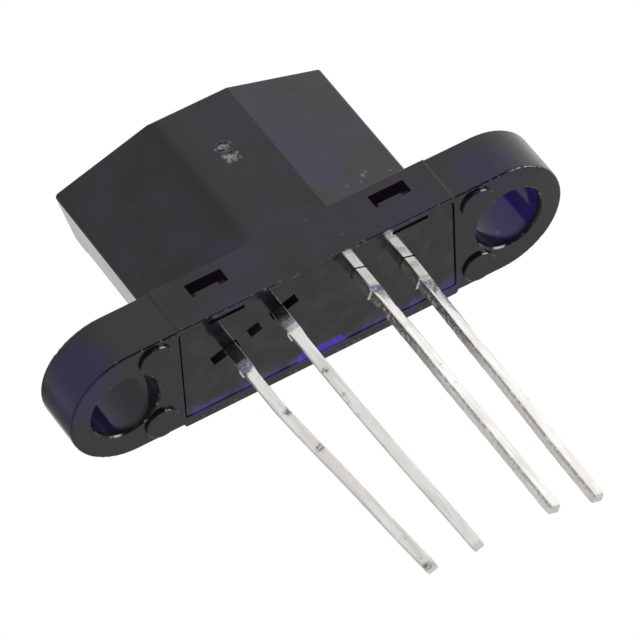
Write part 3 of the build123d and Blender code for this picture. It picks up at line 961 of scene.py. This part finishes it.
def tube_mesh(name, points, values):
    """A closed mesh from rows of points round a tube: quads between the rows, and one face at each end."""
    rows, around = points.shape[:2]
    grid = np.arange(rows * around).reshape(rows, around)
    after = np.roll(grid, -1, axis=1)
    quads = np.stack([grid[:-1], after[:-1], after[1:], grid[1:]], -1).reshape(-1, 4)
    faces = quads[:, ::-1].tolist() + [grid[0].tolist(), grid[-1][::-1].tolist()]
    data = bpy.data.meshes.new(name)
    data.from_pydata(points.reshape(-1, 3).tolist(), [], faces)
    for label, value in values.items():
        data.attributes.new(label, "FLOAT", "POINT").data.foreach_set("value", value.ravel())
    data.polygons.foreach_set("use_smooth", np.ones(len(faces), bool))
    data.set_sharp_from_angle(angle=sharp_edge)
    data.update()
    return data


def make_lead(node):
    """The finer lead that stands for one node of the frame."""
    side, seat, flag, bend, lean, end, painted_violet = lead_table[node]
    points = lead_points(side, seat, flag, bend, lean, end)
    values = lead_marks(side, flag, end, painted_violet)
    piece = bpy.data.objects.new("stamped_" + node, tube_mesh(node + "_surface", points, values))
    bpy.context.scene.collection.objects.link(piece)
    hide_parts(node)
    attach(piece, "root")
    low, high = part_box(node)
    apart = np.abs([points.min((0, 1)) - np.array(low), points.max((0, 1)) - np.array(high)]).max()
    print(node, "faces", len(piece.data.polygons), "box differs by mm", round(apart / mm, 3))
    return piece


def volume(data):
    """The signed volume of a mesh, which is positive where its faces point outwards."""
    shape = bmesh.new()
    shape.from_mesh(data)
    total = shape.calc_volume(signed=True)
    shape.free()
    return total


leads = {node: make_lead(node) for node in lead_table}
print("volumes in cubic mm:", [round(volume(lead.data) / mm ** 3, 2) for lead in leads.values()])

# %% [markdown]
# Tin is soft and bright. The rolled faces mirror the room, with long fine streaks from drawing. The
# stamped sides are duller and mottled, because the tool tears the metal there, and so is the torn rib of
# the dam bar. A few dark marks are left where the leads were gripped, and a violet reflection is painted
# in a band below the flange.

# %% Marks on the leads
# Centre, radius and share of each dark mark.
grip_marks = [
    ((-4.29, -0.75, -4.46), 0.32, 0.85), ((-4.17, -0.80, -6.88), 0.32, 0.85),
    ((-2.12, -1.50, -3.98), 0.24, 0.85), ((-3.86, -0.95, -14.62), 0.32, 0.85),
    ((-2.15, -1.49, -5.49), 0.16, 0.45), ((-2.23, -1.46, -5.94), 0.12, 0.35),
    ((-2.25, -1.45, -6.72), 0.16, 0.40),
]
# A long painted violet reflection beside the band of the last lead: centre, radius and squash.
smear_reflection = ((4.56, -0.62, -2.95), 0.22, (1, 1, 0.20))
smear_reflection_share = 0.9
print("grip marks:", len(grip_marks))

# %% [markdown]
# The metal is one shader with layers of colour, as the plastics are. Where grit, the painted violet
# reflection or dull tin lies, the metallic share goes down as well: grit and dull tin scatter the light as
# a powder does, and the painted reflection shows its own colour.

# %% Tinned leads
tin_tones = (colour(0.90, 0.89, 0.85), colour(1.0, 0.995, 0.965))
tin_smudged = colour(0.55, 0.54, 0.50)
tin_warm = colour(0.88, 0.82, 0.79)
tin_white = colour(1.0, 1.0, 1.0)
tin_lined = colour(0.79, 0.77, 0.71)
tin_dotted = colour(0.25, 0.24, 0.22)
tin_sheared = colour(0.50, 0.48, 0.41)
tin_torn = colour(0.22, 0.21, 0.17)
tin_gripped = colour(0.10, 0.10, 0.09)
tin_violet_reflection = colour(0.24, 0.23, 0.42)
grit_depth = (-2.4, -1.5)             # the sheared sides have matt grit below these heights
insert_shadow = (-1.7, -1.0)          # close to the insert the tin is a little rougher
tin_roughness = (0.07, 0.17)
torn_scale = 5200.0                   # waves to the metre where the metal is torn
mottle_scale = 1500.0
torn_relief = 1.2                     # the height of the torn metal beside that of the streaks
fine_relief = 0.01                    # in mm
# The noises that are drawn out along a lead, for streaks, lines and drift: the share that is left of their
# waves along Z, then waves to the metre and detail.
drawn_noises = ((0.06, 14000.0, 4.0), (0.08, 4600.0, 3.0), (0.25, 1900.0, 3.0))


def mark_mask(tree, torn):
    """The dark grip marks, broken up by the torn noise."""
    marks = 0.0
    for centre, radius, share in grip_marks:
        marks = larger(tree, marks, times(tree, spot(tree, centre, radius), share))
    return times(tree, marks, ramp(tree, torn, 0.40, 0.56, 0.15, 1.0))


def tinned_metal():
    """Bright metal with streaks along Z, dull and mottled where its attributes say so."""
    material, tree, shader = start_material("tinned_lead")
    place = object_place(tree)
    height = add(tree, "ShaderNodeSeparateXYZ", {0: place}).outputs["Z"]
    sheared, torn_zone, painted_violet, dull = (
        add(tree, "ShaderNodeAttribute", attribute_name=label).outputs["Fac"]
        for label in ("sheared", "torn", "painted_reflection", "dull")
    )
    streaks, lines, drift = (
        noise(tree, stretched(tree, place, (1, 1, share)), scale, detail)
        for share, scale, detail in drawn_noises
    )
    torn = noise(tree, place, torn_scale, 5.0)
    mottle = ramp(tree, noise(tree, place, mottle_scale, 4.0), 0.56, 0.72)
    dots = use(tree, specks, {"Scale": 3400.0, "Size": 0.30, "Share": 0.06})["Mask"]
    # The painted violet reflection and its smear, broken up by the torn noise.
    painted_violet = larger(tree, painted_violet, times(tree, spot(tree, *smear_reflection), smear_reflection_share))
    painted_violet = times(tree, painted_violet, ramp(tree, torn, 0.36, 0.52, 0.25, 1.0))
    layers = [
        (times(tree, mottle, 0.22), tin_smudged),
        (ramp(tree, drift, 0.50, 0.62, 0.0, 0.7), tin_warm),
        (ramp(tree, drift, 0.38, 0.48, 0.8, 0.0), tin_white),
        (ramp(tree, lines, 0.50, 0.66, 0.0, 0.75), tin_lined),
        (times(tree, dots, 0.30), tin_dotted),
        (times(tree, times(tree, sheared, ramp(tree, torn, 0.46, 0.62)), 0.20), tin_sheared),
        (times(tree, times(tree, torn_zone, ramp(tree, torn, 0.36, 0.52)), 0.60), tin_torn),
        (mark_mask(tree, torn), tin_gripped),
        (painted_violet, tin_violet_reflection),
    ]
    below = ramp(tree, height, grit_depth[0] * mm, grit_depth[1] * mm, 1.0, 0.0)
    grit = times(tree, times(tree, sheared, below), ramp(tree, torn, 0.50, 0.60, 0.0, 0.55))
    matt = larger(tree, larger(tree, times(tree, painted_violet, 0.75), times(tree, dull, 0.90)), grit)
    near_insert = ramp(tree, height, insert_shadow[0] * mm, insert_shadow[1] * mm)
    rough = ramp(tree, streaks, 0.3, 0.7, *tin_roughness)
    for mask, more in ((sheared, 0.22), (near_insert, 0.08), (larger(tree, mottle, painted_violet), 0.14)):
        rough = maths(tree, "ADD", rough, times(tree, mask, more))
    relief = maths(tree, "ADD", streaks, times(tree, times(tree, torn, sheared), torn_relief))
    bump = add(tree, "ShaderNodeBump", {"Height": relief, "Strength": 0.35, "Distance": fine_relief * mm})
    feed(tree, shader, {
        "Base Color": layered(tree, mix(tree, streaks, *tin_tones), layers),
        "Metallic": maths(tree, "SUBTRACT", 1.0, matt),
        "Roughness": rough,
        "Normal": bump.outputs["Normal"],
    })
    return material


lead_finish = tinned_metal()
for lead in leads.values():
    lead.data.materials.append(lead_finish)
print("lead finish on", len(leads), "leads")

# %% [markdown]
# Inside the closed housing stand the two side-looking packages. They can't be seen from outside, but a
# part that is taken apart should still show clear pale resin, dark filter resin, silicon and gold.

# %% Resins, chips and wires
# Name, two tones, waves to the metre, roughness and metallic share of each finish.
inner_table = {
    "led_package": ("clear_led_resin", (0.55, 0.50, 0.46), (0.66, 0.60, 0.55), 600.0, 0.08, 0.0),
    "phototransistor_package":
        ("dark_sensor_resin", (0.012, 0.011, 0.03), (0.02, 0.018, 0.05), 600.0, 0.08, 0.0),
    "led_chip": ("led_chip_face", (0.16, 0.10, 0.12), (0.24, 0.16, 0.18), 9000.0, 0.2, 0.6),
    "phototransistor_chip": ("silicon_face", (0.10, 0.11, 0.15), (0.16, 0.17, 0.22), 9000.0, 0.15, 0.7),
    "led_bond_wire": ("gold_wire", (0.83, 0.60, 0.25), (0.93, 0.72, 0.35), 9000.0, 0.2, 1.0),
}
rough_spread = 0.08


def plain_finish(name, first, second, scale, rough, metallic):
    """Two close tones of one material, mixed by a noise that also moves the roughness and a slight bump."""
    material, tree, shader = start_material(name)
    cloud = noise(tree, object_place(tree), scale, 3.0)
    bump = add(tree, "ShaderNodeBump", {"Height": cloud, "Strength": 0.1, "Distance": fine_relief * mm})
    feed(tree, shader, {
        "Base Color": mix(tree, cloud, colour(*first), colour(*second)),
        "Roughness": ramp(tree, cloud, 0.2, 0.8, rough, rough + rough_spread),
        "Normal": bump.outputs["Normal"],
    })
    shader.inputs["Metallic"].default_value = metallic
    return material


inner_finishes = {node: plain_finish(*row) for node, row in inner_table.items()}
inner_finishes["phototransistor_bond_wire"] = inner_finishes["led_bond_wire"]
print("inner finishes:", sorted(finish.name for finish in set(inner_finishes.values())))

# %% [markdown]
# The frame's own pieces keep their meshes. A finish is put on one by filling its material slots.

# %% Dress the frame's pieces
def dress(node, material):
    """Puts a material in every slot of a CAD node."""
    for slot in nodes[node].material_slots:
        slot.material = material


for node, finish in inner_finishes.items():
    dress(node, finish)
dress("housing", housing_finish)
dress("base_insert", insert_finish)
print("materials:", len(bpy.data.materials))
